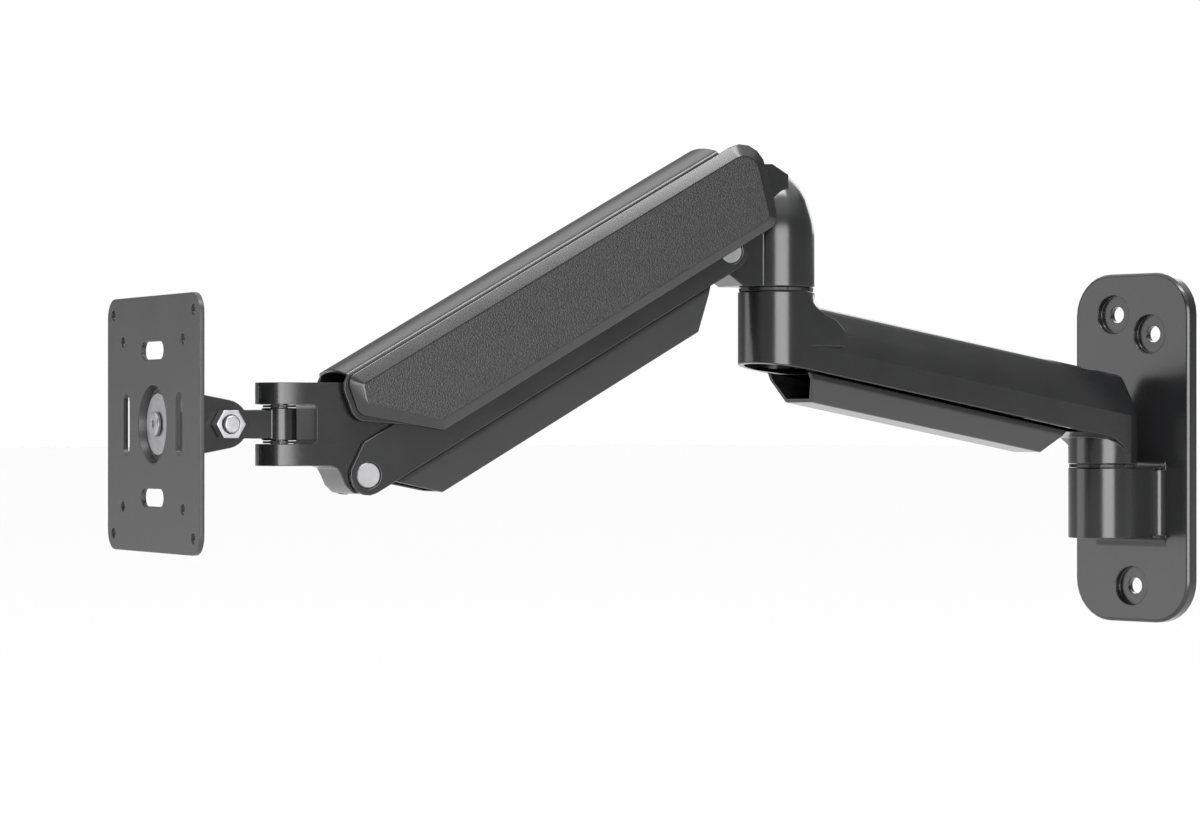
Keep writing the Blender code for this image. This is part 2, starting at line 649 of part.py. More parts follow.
def upper_arm_shell():
    """Load-bearing upper channel, modelled from the lower pin line and then moved to its pins."""
    web_side = [(SHELL_START, 24.0), (SHELL_END, 24.0), (SHELL_END, 60.0), (SHELL_START, 60.0)]
    side = join(prism(rounded_hull(SHELL_WALL), -30, 30, "y"), prism(web_side, -29, 29, "y"))
    body = keep(prism(shell_section(0.0), -60, LINK_LENGTH + 40, "x"), side)
    body = cut(body, prism(shell_section(SHELL_OUTER - SHELL_INNER), -90, LINK_LENGTH + 70, "x"))
    for x in (PIN_SHIFT[0], PIN_SHIFT[0] + LINK_LENGTH):
        body = cut(body, rod(PIN_HEAD_RADIUS + RUN, -30, 30, (x, PIN_SHIFT[1]), "y"))
    for side_sign in (-1, 1):
        body = cut(body, rod(TRUNNION_RADIUS + RUN, *sorted((side_sign * 10, side_sign * 30)), TRUNNION, "y"))
    return to_upper_pin(body)


def to_upper_pin(bm):
    """Move a solid from the lower pin's frame to the upper pin's."""
    bmesh.ops.translate(bm, verts=bm.verts, vec=(-PIN_SHIFT[0], 0.0, -PIN_SHIFT[1]))
    return bm


def side_cover(side):
    """Moulded side cover: a bevelled tray whose open back sits on the channel's wall."""
    def ring(corners, y, grow=0.0):
        return [(x, side * y, z) for x, z in rounded_hull(corners, grow)]

    body = convex(ring(COVER_EDGE, COVER_INNER), ring(COVER_EDGE, COVER_RIM), ring(COVER_FLAT, COVER_FACE))
    pocket_low = COVER_INNER - 1.0
    pocket_high = COVER_FACE - COVER_WALL
    pocket = convex(ring(COVER_FLAT, pocket_low, 1.0), ring(COVER_FLAT, pocket_high, -1.2))
    body = cut(body, pocket)
    for swing in (0.0, 5.0, 10.0):
        hub = rod(HUB_RADIUS + 0.45, 90, 170, count=ROUND)
        body = cut(body, turn(hub, hub_to_cover(swing)))
    return to_upper_pin(body)


def hub_to_cover(swing):
    """Place the elbow hub in the lower pin's sloping frame, with the arm lowered by swing degrees."""
    into_pin = Matrix.Translation((-UPPER_PIN[0], 0.0, -UPPER_PIN[1]))
    tip = Matrix.Rotation(-(SLOPE + math.radians(swing)), 4, "Y")
    back = Matrix.Translation((PIN_SHIFT[0], 0.0, PIN_SHIFT[1]))
    return back @ tip @ into_pin


# -------------------------------------------------------------------- gas spring
def spring_cylinder():
    """Gas cylinder along x, from its gland end to the rear eye."""
    front = GLAND_FROM_ANCHOR
    rear = SPRING_SPAN - 10.0
    profile = [(SPRING_BORE, front), (SPRING_RADIUS - 0.6, front), (SPRING_RADIUS, front + 0.6),
               (SPRING_RADIUS, rear - 1.5), (SPRING_RADIUS - 1.5, rear), (0, rear), (0, rear - 4),
               (SPRING_BORE, rear - 4)]
    tube = lengthwise(turned(profile, INNER_ROUND))
    tab = prism(hull(circle((SPRING_SPAN, 0.0), SPRING_EYE_RADIUS), [(rear - 2, -4.5), (rear - 2, 4.5)]),
                -EYE_HALF, EYE_HALF, "y")
    return cut(join(tube, tab), rod(TRUNNION_RADIUS + RUN, -20, 20, (SPRING_SPAN, 0.0), "y"))


def spring_gland():
    front = GLAND_FROM_ANCHOR
    bore = ROD_RADIUS + RUN
    profile = [(bore, front), (SPRING_BORE - RUN, front), (SPRING_BORE - RUN, front + 8), (bore, front + 8)]
    return lengthwise(turned(profile, SMALL_ROUND))


def spring_rod():
    """Piston rod with its piston, and the slotted eye that the anchor pin passes through."""
    piston = GLAND_FROM_ANCHOR + PISTON_FROM_GLAND
    profile = [(0, 5.0), (ROD_RADIUS, 5.0), (ROD_RADIUS, piston), (SPRING_BORE - RUN, piston),
               (SPRING_BORE - RUN, piston + 8), (0, piston + 8)]
    body = lengthwise(turned(profile, SMALL_ROUND))
    low, high = EYE_SLOT
    eye = hull(circle((0.0, low), EYE_RADIUS), circle((0.0, high), EYE_RADIUS))
    slot = hull(circle((0.0, low), EYE_SLOT_RADIUS), circle((0.0, high), EYE_SLOT_RADIUS))
    return cut(join(body, prism(eye, -EYE_HALF, EYE_HALF, "y")), prism(slot, -20, 20, "y"))


def spring_carriage():
    """Nut block that carries the spring's rear pin and rides on the tension screw."""
    (x_low, x_high), (z_low, z_high) = CARRIAGE
    half = SHELL_INNER - SEAT
    block = box((x_low, x_high), (-half, half), (z_low, z_high))
    eye_room = box((x_low - 5, x_high - 1.4), (-EYE_HALF - SEAT, EYE_HALF + SEAT), (z_low - 5, 39.0))
    neck_room = box((x_low - 5, x_low + 1.8), (-SPRING_RADIUS - 0.6, SPRING_RADIUS + 0.6), (z_low - 5, 43.0))
    screw = rod(TENSION_SCREW_RADIUS + RUN, x_low - 5, x_high + 5, (0.0, TENSION_SCREW_HEIGHT), "x", 16)
    body = cut(block, eye_room, screw)
    body = cut(body, rod(TRUNNION_RADIUS + RUN, -30, 30, TRUNNION, "y"), neck_room)
    return to_upper_pin(body)


def tension_screw():
    """Hexagon-socket screw that sets the spring's pull, reached through the open end."""
    head = TENSION_SCREW_HEAD
    z = TENSION_SCREW_HEIGHT
    shank = rod(TENSION_SCREW_RADIUS, head - TENSION_SCREW_LENGTH, head, (0.0, z), "x", 16)
    body = join(shank, rod(3.1, head - 3.2, head, (0.0, z), "x", 16))
    return to_upper_pin(cut(body, rod(1.6, head - 1.8, head + 4, (0.0, z), "x", 6)))


def screw_bracket():
    """Cross plate under the channel's top that holds the tension screw."""
    x_low = TENSION_SCREW_HEAD - 6.4
    plate = box((x_low, x_low + 2.4), (-SHELL_INNER + SEAT, SHELL_INNER - SEAT), (36.9, 44.2))
    hole = rod(TENSION_SCREW_RADIUS + RUN, x_low - 5, x_low + 8, (0.0, TENSION_SCREW_HEIGHT), "x", 16)
    return to_upper_pin(cut(plate, hole))


# ------------------------------------------------------------------ head bracket
def head_bracket():
    """Bracket kept upright by the two links, with a clevis for the knuckle.

    Modelled from the upper head pin.
    """
    top = PAN_HEIGHT + CLEVIS_HEIGHT / 2
    bottom = PAN_HEIGHT - CLEVIS_HEIGHT / 2
    lower = (-PIN_STEP[0], -PIN_STEP[1])
    nose = circle((lower[0], lower[1]), 8.8, 12, 200, 290)
    outline = nose + [(lower[0] + 6.6, lower[1] - 8.2), (lower[0] + 10.6, lower[1] - 4.6),
                      (lower[0] + 13.0, lower[1] + 0.6), (lower[0] + 14.6, lower[1] + 3.2),
                      (lower[0] + 18.0, bottom), (PAN_REACH + EAR_RADIUS, bottom),
                      (PAN_REACH + EAR_RADIUS, top), (0.0, top)]
    outline += circle((0.0, 0.0), min(9.0, top), 8, 100, 190)
    body = prism(outline, -BRACKET_HALF, BRACKET_HALF, "y")

    ear = EAR_RADIUS
    plan = hull([(-30.0, -BRACKET_HALF), (-30.0, BRACKET_HALF), (PAN_REACH - 9, BRACKET_HALF),
                 (PAN_REACH - 9, -BRACKET_HALF)], circle((PAN_REACH, 0.0), ear, 32))
    body = keep(body, prism(plan, -80, 60))
    half = WINDOW_HEIGHT / 2
    back = PAN_REACH - WINDOW_BACK
    round_off = 2.0
    window = (circle((back + round_off, PAN_HEIGHT + half - round_off), round_off, 4, 90, 180)
              + circle((back + round_off, PAN_HEIGHT - half + round_off), round_off, 4, 180, 270)
              + [(PAN_REACH + 30, PAN_HEIGHT - half), (PAN_REACH + 30, PAN_HEIGHT + half)])
    return cut(body,
               prism(window, -30, 30, "y"),
               rod(PAN_PIN_RADIUS + RUN, -80, 60, (PAN_REACH, 0.0)),
               rod(SLEEVE_RADIUS + RUN, -30, 30, (0.0, 0.0), "y"),
               rod(SLEEVE_RADIUS + RUN, -30, 30, lower, "y"))


def pan_pin():
    """Flush pan pin through both ears, with a socket in its top."""
    half = CLEVIS_HEIGHT / 2 - 0.4
    body = rod(PAN_PIN_RADIUS, -half, half)
    return cut(body, rod(2.3, half - 3.0, half + 3, count=6))


def pan_washer(side):
    """Nylon washer above or below the knuckle's barrel."""
    face = WINDOW_HEIGHT / 2 - SEAT
    low, high = sorted((side * face, side * (face - PAN_WASHER)))
    bore = PAN_PIN_RADIUS + RUN
    return turned([(bore, low), (7.6, low), (7.6, high), (bore, high)], SMALL_ROUND)


# ------------------------------------------------------------ knuckle and screen plate
def knuckle():
    """Upright barrel on the pan pin, joined by a neck to the level tilt barrel."""
    half = WINDOW_HEIGHT / 2 - SEAT - PAN_WASHER - SEAT
    barrel = rod(KNUCKLE_RADIUS, -half, half, count=32)
    neck = box((0.0, TILT_REACH), (-5.5, 5.5), (-half + 0.8, half - 0.8))
    tilt = rod(TILT_BARREL_RADIUS, -TILT_BARREL_HALF, TILT_BARREL_HALF, (TILT_REACH, 0.0), "y", 32)
    return cut(join(barrel, neck, tilt),
               rod(PAN_PIN_RADIUS + RUN, -30, 30),
               rod(TILT_BOLT_RADIUS + RUN, -30, 30, (TILT_REACH, 0.0), "y"))


def tilt_yoke():
    """Two ears on a round base that carries the screen plate's turning boss."""
    back, front = YOKE_BASE, YOKE_BASE + YOKE_BASE_THICKNESS
    r = YOKE_BASE_RADIUS
    base = lengthwise(turned([(0, back), (r - 1, back), (r, back + 1), (r, front), (0, front)]))
    boss_end = DISH_BACK + VESA_THICKNESS - 0.8
    boss = lengthwise(turned([(0, front - 1), (BOSS_RADIUS, front - 1), (BOSS_RADIUS, boss_end), (0, boss_end)],
                             INNER_ROUND))
    outline = hull(circle((0.0, 0.0), TILT_EAR_RADIUS, 32), [(back + 1, -14.0), (back + 1, 14.0)])
    ears = [prism(outline, *sorted((side * EAR_INNER, side * EAR_OUTER)), "y") for side in (-1, 1)]
    body = join(base, boss, *ears)
    screw = lengthwise(turned([(0, front - 2), (3.2, front - 2), (3.2, 60), (0, 60)], SMALL_ROUND))
    return cut(body, rod(TILT_BOLT_RADIUS + RUN, -30, 30, (0.0, 0.0), "y"), screw)


def tilt_washer(side):
    """Friction washer between the tilt barrel and one of the yoke's ears."""
    low = TILT_BARREL_HALF + SEAT
    high = EAR_INNER - SEAT
    bore = TILT_BOLT_RADIUS + RUN
    return to_side(across(turned([(bore, low), (8.4, low), (8.4, high), (bore, high)], SMALL_ROUND)), side)


def tilt_bolt():
    """Hexagon-socket bolt across the yoke."""
    head = EAR_OUTER + SEAT
    profile = [(0, -head - 4.0), (6.0, -head - 4.0), (6.5, -head - 3.5), (6.5, -head), (TILT_BOLT_RADIUS, -head),
               (TILT_BOLT_RADIUS, head + 7.5), (TILT_BOLT_RADIUS - 0.6, head + 8.1), (0, head + 8.1)]
    socket = rod(2.9, -head - 6, -head - 1.4, count=6)
    return across(cut(turned(profile, SMALL_ROUND), socket))


def tilt_nut():
    head = EAR_OUTER + SEAT
    hexagon = rod(7.2, head, head + 6.3, count=6)
    return across(cut(hexagon, rod(TILT_BOLT_RADIUS + RUN, 0, 60)))


def vesa_plate():
    """Square screen plate with a dished middle and its two standard hole squares."""
    low = PLATE_REACH
    high = low + VESA_THICKNESS
    body = prism(rounded_rectangle(VESA_SIZE, VESA_SIZE, VESA_CORNER, 6), low, high, "x")
    dish_floor = DISH_BACK + VESA_THICKNESS
    rim = DISH_RADIUS + VESA_THICKNESS
    body = join(body, lengthwise(turned([(0, DISH_BACK), (rim, DISH_BACK), (rim + 1.5, low + 1), (0, low + 1)])))
    tools = [lengthwise(turned([(0, dish_floor), (DISH_RADIUS, dish_floor), (DISH_RADIUS + 1.5, high + 1),
                                (0, high + 1)])),
             rod(BOSS_RADIUS + SEAT, DISH_BACK - 5, high + 5, (0.0, 0.0), "x", INNER_ROUND)]
    for pitch in VESA_PITCHES:
        for sy in (-1, 1):
            for sz in (-1, 1):
                tools.append(rod(VESA_HOLE, low - 9, low + 9, (sy * pitch / 2, sz * pitch / 2), "x", 12))
    for quarter in range(4):
        slot = prism(hull(circle((33.0, 10.0), 4.0, 12), circle((33.0, -10.0), 4.0, 12)), low - 9, low + 9, "x")
        tools.append(turn(slot, Matrix.Rotation(math.radians(90 * quarter), 4, "X")))
    return cut(body, *tools)


def turning_washer():
    """Nylon ring between the yoke and the screen plate."""
    low = YOKE_BASE + YOKE_BASE_THICKNESS + SEAT
    high = DISH_BACK - SEAT
    bore = BOSS_RADIUS + SEAT
    return lengthwise(turned([(bore, low), (17.5, low), (17.5, high), (bore, high)], INNER_ROUND))


def clamp_disc():
    """Steel disc that keeps the screen plate on the yoke's boss."""
    low = DISH_BACK + VESA_THICKNESS + SEAT
    high = low + CLAMP_THICKNESS
    return lengthwise(turned([(3.4, low), (14.0, low), (14.0, high), (3.4, high)], INNER_ROUND))


def centre_screw():
    under = DISH_BACK + VESA_THICKNESS + SEAT + CLAMP_THICKNESS + SEAT
    top = under + CENTRE_HEAD
    tip = YOKE_BASE + YOKE_BASE_THICKNESS - 1
    body = lengthwise(turned([(0, top), (5.0, top), (5.6, top - 0.6), (5.6, under), (3.0, under), (3.0, tip),
                              (0, tip)], SMALL_ROUND))
    return cut(body, rod(2.2, under + 0.8, under + 8, (0.0, 0.0), "x", 6))


# ------------------------------------------------------------------------- build
for leftover in list(bpy.data.objects):
    bpy.data.objects.remove(leftover)

finishes = {name: make_finish(name, *values) for name, values in MATERIALS.items()}

plate_frame = frame("plate_frame", None, (0, 0, 0), turn_z=-90)
wall_axis = frame("wall_axis", plate_frame, (HUB_OFFSET, 0, 0))
elbow_axis = frame("elbow_axis", wall_axis, (EXTENSION_LENGTH, 0, 0), turn_z=ELBOW_REST)
lower_pin = frame("lower_pin_axis", elbow_axis, (LOWER_PIN[0], 0, LOWER_PIN[1]), turn_y=SPRING_ARM_REST)
upper_pin = frame("upper_pin_axis", elbow_axis, (UPPER_PIN[0], 0, UPPER_PIN[1]), turn_y=SPRING_ARM_REST)
lower_end = frame("lower_head_axis", lower_pin, (LINK_LENGTH, 0, 0))
head_axis = frame("head_axis", upper_pin, (LINK_LENGTH, 0, 0), turn_y=-SPRING_ARM_REST)
pan_axis = frame("pan_axis", head_axis, (PAN_REACH, 0, PAN_HEIGHT))
tilt_axis = frame("tilt_axis", pan_axis, (TILT_REACH, 0, 0))
anchor_axis = frame("spring_anchor_axis", upper_pin,
                    (ANCHOR[0] - PIN_SHIFT[0], 0, ANCHOR[1] - PIN_SHIFT[1]),
                    turn_y=-math.degrees(SPRING_ANGLE))
anchor_point = anchor_on_bracket()

node("wall_bracket", wall_bracket(), plate_frame, "casting")
node("wall_notched_bush", notched_bush(BRACKET_TOP), wall_axis, "nylon")
wall_seat = BRACKET_BOTTOM + LOWER_SEAT_DEPTH
node("wall_lower_bush", lower_bush(wall_seat), wall_axis, "nylon")
wall_stack = wall_seat - 2 * SEAT - FLANGE
node("wall_pivot_post", pivot_post(wall_stack, WALL_POST_TOP), wall_axis, "steel")
node("wall_retaining_washer", retaining_washer(wall_stack - SEAT), wall_axis, "zinc")
node("wall_retaining_screw", retaining_screw(wall_stack - 2 * SEAT - FLANGE), wall_axis, "zinc")

node("extension_arm", extension_arm(), wall_axis, "casting")
node("extension_cable_cover", extension_cable_cover(), wall_axis, "plastic")
node("elbow_notched_bush", notched_bush(ELBOW_HUB_TOP), elbow_axis, "nylon")
node("elbow_lower_bush", lower_bush(ELBOW_RECESS_TOP), elbow_axis, "nylon")
elbow_stack = ELBOW_RECESS_TOP - 2 * SEAT - FLANGE

node("elbow_bracket", elbow_bracket(), elbow_axis, "casting")
node("elbow_pivot_post", pivot_post(elbow_stack, ELBOW_POST_TOP), elbow_axis, "steel")
node("elbow_retaining_washer", retaining_washer(elbow_stack - SEAT), elbow_axis, "zinc")
node("elbow_retaining_screw", retaining_screw(elbow_stack - 2 * SEAT - FLANGE), elbow_axis, "zinc")
anchor_pin = rod(ANCHOR_PIN_RADIUS, -BRACKET_HALF + 0.2, BRACKET_HALF - 0.2, anchor_point, "y")
node("spring_anchor_pin", anchor_pin, elbow_axis, "steel")

inner_sleeve = SLOT_HALF + SEAT
for side_name, side in (("right", 1), ("left", -1)):
    flanged = (side, inner_sleeve, SHELL_INNER - SEAT, True)
    node(f"lower_elbow_bush_{side_name}", bush(side, inner_sleeve, BRACKET_HALF + 0.1, False),
         lower_pin, "nylon")
    node(f"upper_elbow_bush_{side_name}", bush(*flanged), upper_pin, "nylon")
    node(f"upper_head_bush_{side_name}", bush(*flanged), head_axis, "nylon")
node("lower_head_bush", bush(1, -BRACKET_HALF - 0.1, BRACKET_HALF + 0.1, False), lower_end, "nylon")
node("lower_elbow_pin", link_pin(CHEEK_INNER, CHEEK_OUTER), lower_pin, "steel")
node("lower_head_pin", link_pin(CHEEK_INNER, CHEEK_OUTER), lower_end, "steel")
node("upper_elbow_pin", link_pin(SHELL_INNER, SHELL_OUTER), upper_pin, "steel")
node("upper_head_pin", link_pin(SHELL_INNER, SHELL_OUTER), head_axis, "steel")

node("lower_arm_link", lower_arm_link(), lower_pin, "casting")
node("spring_cable_cover", spring_cable_cover(), lower_pin, "plastic")

node("upper_arm_shell", upper_arm_shell(), upper_pin, "casting")
node("right_side_cover", side_cover(1), upper_pin, "grained")
node("left_side_cover", side_cover(-1), upper_pin, "grained")
node("gas_spring_cylinder", spring_cylinder(), anchor_axis, "cylinder")
node("gas_spring_gland", spring_gland(), anchor_axis, "zinc")
node("gas_spring_rod", spring_rod(), anchor_axis, "steel")
trunnion_pin = rod(TRUNNION_RADIUS, -SHELL_OUTER, SHELL_OUTER, TRUNNION, "y")
node("spring_rear_pin", to_upper_pin(trunnion_pin), upper_pin, "steel")
node("spring_carriage", spring_carriage(), upper_pin, "zinc")
node("tension_screw", tension_screw(), upper_pin, "zinc")
node("tension_screw_bracket", screw_bracket(), upper_pin, "zinc")

node("head_bracket", head_bracket(), head_axis, "casting")
node("pan_pin", pan_pin(), pan_axis, "steel")
node("upper_pan_washer", pan_washer(1), pan_axis, "nylon")
node("lower_pan_washer", pan_washer(-1), pan_axis, "nylon")
node("knuckle", knuckle(), pan_axis, "casting")
node("tilt_yoke", tilt_yoke(), tilt_axis, "casting")
node("tilt_washer_right", tilt_washer(1), tilt_axis, "nylon")
node("tilt_washer_left", tilt_washer(-1), tilt_axis, "nylon")
node("tilt_bolt", tilt_bolt(), tilt_axis, "zinc")
node("tilt_nut", tilt_nut(), tilt_axis, "zinc")
node("vesa_plate", vesa_plate(), tilt_axis, "casting")
node("turning_washer", turning_washer(), tilt_axis, "nylon")
node("clamp_disc", clamp_disc(), tilt_axis, "zinc")
node("centre_screw", centre_screw(), tilt_axis, "zinc")
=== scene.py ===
import json
import math

import bmesh
import bpy
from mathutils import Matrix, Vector


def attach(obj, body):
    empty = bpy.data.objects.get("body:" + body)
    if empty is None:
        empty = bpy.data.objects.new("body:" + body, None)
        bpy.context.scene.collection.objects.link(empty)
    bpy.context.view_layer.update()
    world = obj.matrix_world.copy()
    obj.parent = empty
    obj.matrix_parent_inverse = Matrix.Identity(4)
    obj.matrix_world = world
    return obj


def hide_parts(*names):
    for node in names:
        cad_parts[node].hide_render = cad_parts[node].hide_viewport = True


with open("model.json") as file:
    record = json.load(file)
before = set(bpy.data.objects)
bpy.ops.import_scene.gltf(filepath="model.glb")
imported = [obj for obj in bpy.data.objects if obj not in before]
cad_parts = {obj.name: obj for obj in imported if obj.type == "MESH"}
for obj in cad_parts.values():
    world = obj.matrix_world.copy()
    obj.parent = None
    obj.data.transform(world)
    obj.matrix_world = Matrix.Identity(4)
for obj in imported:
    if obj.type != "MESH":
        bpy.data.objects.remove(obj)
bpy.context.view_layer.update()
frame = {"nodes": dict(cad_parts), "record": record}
scene = bpy.context.scene
nodes = frame["nodes"]

bodyOf = {}
for bodyName, members in frame["record"]["behaviour"]["bodies"].items():
    for member in members:
        bodyOf[member] = bodyName
slotOf = {entry["node"]: entry["material_slot"] for entry in frame["record"]["subparts"]}

# camera

# place and near limit in metres, turn in degrees, lens and sensor in millimetres
view = {"location": (1.1949, -1.5729, 0.0095), "turn": 45.82, "lens": 107.06, "sensor": 36.0,
        "shiftY": 0.011, "nearLimit": 0.02}
cameraData = bpy.data.cameras.new("camera")
cameraData.lens = view["lens"]
cameraData.sensor_width = view["sensor"]
cameraData.shift_y = view["shiftY"]
cameraData.clip_start = view["nearLimit"]
camera = bpy.data.objects.new("camera", cameraData)
camera.location = view["location"]
camera.rotation_euler = (math.radians(90), 0, math.radians(view["turn"]))
scene.collection.objects.link(camera)
scene.camera = camera
print("camera placed")

# floor and light

# the room's brightness by height: below the horizon, level, and overhead; backdrop is what the camera sees
studio = {"floorSize": 160.0, "floorHeight": -0.46, "floorColour": (0.72, 0.72, 0.72), "floorRoughness": 0.9,
          "below": 0.45, "level": 0.26, "overhead": 1.9, "backdrop": 1.0}

bm = bmesh.new()
bmesh.ops.create_grid(bm, x_segments=1, y_segments=1, size=studio["floorSize"] / 2)
bmesh.ops.translate(bm, verts=bm.verts, vec=(0, 0, studio["floorHeight"]))
floorMesh = bpy.data.meshes.new("floor")
bm.to_mesh(floorMesh)
bm.free()
floor = bpy.data.objects.new("floor", floorMesh)
scene.collection.objects.link(floor)
floorFinish = bpy.data.materials.new("paleFloor")
floorFinish.use_nodes = True
floorShader = floorFinish.node_tree.nodes["Principled BSDF"]
floorShader.inputs["Base Color"].default_value = (*studio["floorColour"], 1)
floorShader.inputs["Roughness"].default_value = studio["floorRoughness"]
floorMesh.materials.append(floorFinish)

# where each brightness stands, from 0 straight down to 1 straight up
roomLevels = ((0.0, "below"), (0.42, "below"), (0.52, "level"), (0.70, "level"), (0.86, "overhead"))
world = bpy.data.worlds.new("studio")
world.use_nodes = True
worldTree = world.node_tree
room = worldTree.nodes["Background"]
direction = worldTree.nodes.new("ShaderNodeTexCoord")
height = worldTree.nodes.new("ShaderNodeSeparateXYZ")
ramp = worldTree.nodes.new("ShaderNodeValToRGB")
ramp.color_ramp.interpolation = "EASE"
for at, key in roomLevels:
    stop = ramp.color_ramp.elements.new(at)
    stop.color = (studio[key], studio[key], studio[key], 1)
ramp.color_ramp.elements.remove(ramp.color_ramp.elements[0])
ramp.color_ramp.elements[-1].color = (studio["overhead"], studio["overhead"], studio["overhead"], 1)
remap = worldTree.nodes.new("ShaderNodeMapRange")
remap.inputs["From Min"].default_value = -1.0
worldTree.links.new(direction.outputs["Generated"], height.inputs["Vector"])
worldTree.links.new(height.outputs["Z"], remap.inputs["Value"])
worldTree.links.new(remap.outputs["Result"], ramp.inputs["Fac"])
worldTree.links.new(ramp.outputs["Color"], room.inputs["Color"])
backdrop = worldTree.nodes.new("ShaderNodeBackground")
backdrop.inputs["Color"].default_value = (1, 1, 1, 1)
backdrop.inputs["Strength"].default_value = studio["backdrop"]
seen = worldTree.nodes.new("ShaderNodeLightPath")
choose = worldTree.nodes.new("ShaderNodeMixShader")
worldTree.links.new(seen.outputs["Is Camera Ray"], choose.inputs["Fac"])
worldTree.links.new(room.outputs["Background"], choose.inputs[1])
worldTree.links.new(backdrop.outputs["Background"], choose.inputs[2])
worldTree.links.new(choose.outputs["Shader"], worldTree.nodes["World Output"].inputs["Surface"])
scene.world = world
scene.view_settings.view_transform = "Standard"

# around and up in degrees from the camera's side, distance and size in metres, power in watts
middle = Vector((-0.03, -0.3, 0.03))
lamps = {
    "stripRight": {"around": 17, "up": 3, "distance": 2.4, "size": (1.7, 1.3), "power": 58},
    "topEdge": {"around": 18, "up": 60, "distance": 1.5, "size": (1.2, 0.35), "power": 22},
    "softLeft": {"around": -90, "up": 6, "distance": 1.8, "size": (1.1, 1.4), "power": 11},
    "rim": {"around": 155, "up": 25, "distance": 1.8, "size": (0.6, 1.2), "power": 7},
}
cameraSide = math.atan2(view["location"][1] - middle.y, view["location"][0] - middle.x)
for lampName, lamp in lamps.items():
    light = bpy.data.lights.new(lampName, "AREA")
    light.shape = "RECTANGLE"
    light.size, light.size_y = lamp["size"]
    light.energy = lamp["power"]
    holder = bpy.data.objects.new(lampName, light)
    around = cameraSide + math.radians(lamp["around"])
    up = math.radians(lamp["up"])
    outward = Vector((math.cos(up) * math.cos(around), math.cos(up) * math.sin(around), math.sin(up)))
    holder.location = middle + outward * lamp["distance"]
    holder.rotation_euler = outward.to_track_quat("Z", "Y").to_euler()
    scene.collection.objects.link(holder)
print("floor and lights placed")

# finishes

# rough is the range of roughness; patch and peel are the scales of the broad and the fine noise;
# bump, tone and the painted grain shade are how strongly they show
finishes = {
    "satinCasting": {"colour": (0.008, 0.0082, 0.0087), "metal": 0.0, "rough": (0.17, 0.25), "patch": 45.0,
                     "peel": 520.0, "bump": 0.03, "tone": 0.2, "paintedGrainShade": 0.0, "coat": 0.0},
    "foldedSteel": {"colour": (0.0085, 0.0087, 0.0092), "metal": 0.0, "rough": (0.2, 0.28), "patch": 60.0,
                    "peel": 700.0, "bump": 0.04, "tone": 0.2, "paintedGrainShade": 0.0, "coat": 0.0},
    "plateFinish": {"colour": (0.016, 0.0163, 0.017), "metal": 0.0, "rough": (0.34, 0.44), "patch": 40.0,
                    "peel": 900.0, "bump": 0.06, "tone": 0.18, "paintedGrainShade": 0.0, "coat": 0.0},
    # the grained plastic gets painted shade in the pits of its grain and painted highlight on the tops
    "grainedPlastic": {"colour": (0.006, 0.0061, 0.0064), "metal": 0.0, "rough": (0.4, 0.5), "patch": 80.0,
                       "peel": 1300.0, "bump": 0.9, "tone": 0.15, "paintedGrainShade": 0.9, "coat": 0.0},
    "coverPlastic": {"colour": (0.0075, 0.0077, 0.0082), "metal": 0.0, "rough": (0.17, 0.24), "patch": 70.0,
                     "peel": 1100.0, "bump": 0.015, "tone": 0.2, "paintedGrainShade": 0.0, "coat": 0.0},
    "nylon": {"colour": (0.009, 0.009, 0.0095), "metal": 0.0, "rough": (0.4, 0.52), "patch": 120.0,
              "peel": 1300.0, "bump": 0.05, "tone": 0.25, "paintedGrainShade": 0.0, "coat": 0.0},
    "satinSteel": {"colour": (0.3, 0.3, 0.305), "metal": 1.0, "rough": (0.34, 0.46), "patch": 160.0,
                   "peel": 1800.0, "bump": 0.06, "tone": 0.1, "paintedGrainShade": 0.0, "coat": 0.0},
    "zincPlate": {"colour": (0.3, 0.3, 0.31), "metal": 1.0, "rough": (0.32, 0.46), "patch": 240.0,
                  "peel": 1500.0, "bump": 0.08, "tone": 0.2, "paintedGrainShade": 0.0, "coat": 0.0},
    "tubePaint": {"colour": (0.008, 0.008, 0.0085), "metal": 0.0, "rough": (0.16, 0.22), "patch": 50.0,
                  "peel": 400.0, "bump": 0.02, "tone": 0.15, "paintedGrainShade": 0.0, "coat": 0.4},
}

# the last two set where the grain's painted pit shade turns into painted highlight on the tops
grain = {"broadDetail": 4.0, "fineDetail": 2.0, "height": 0.0004, "paintedShadeFrom": 0.35, "paintedShadeTo": 0.65}


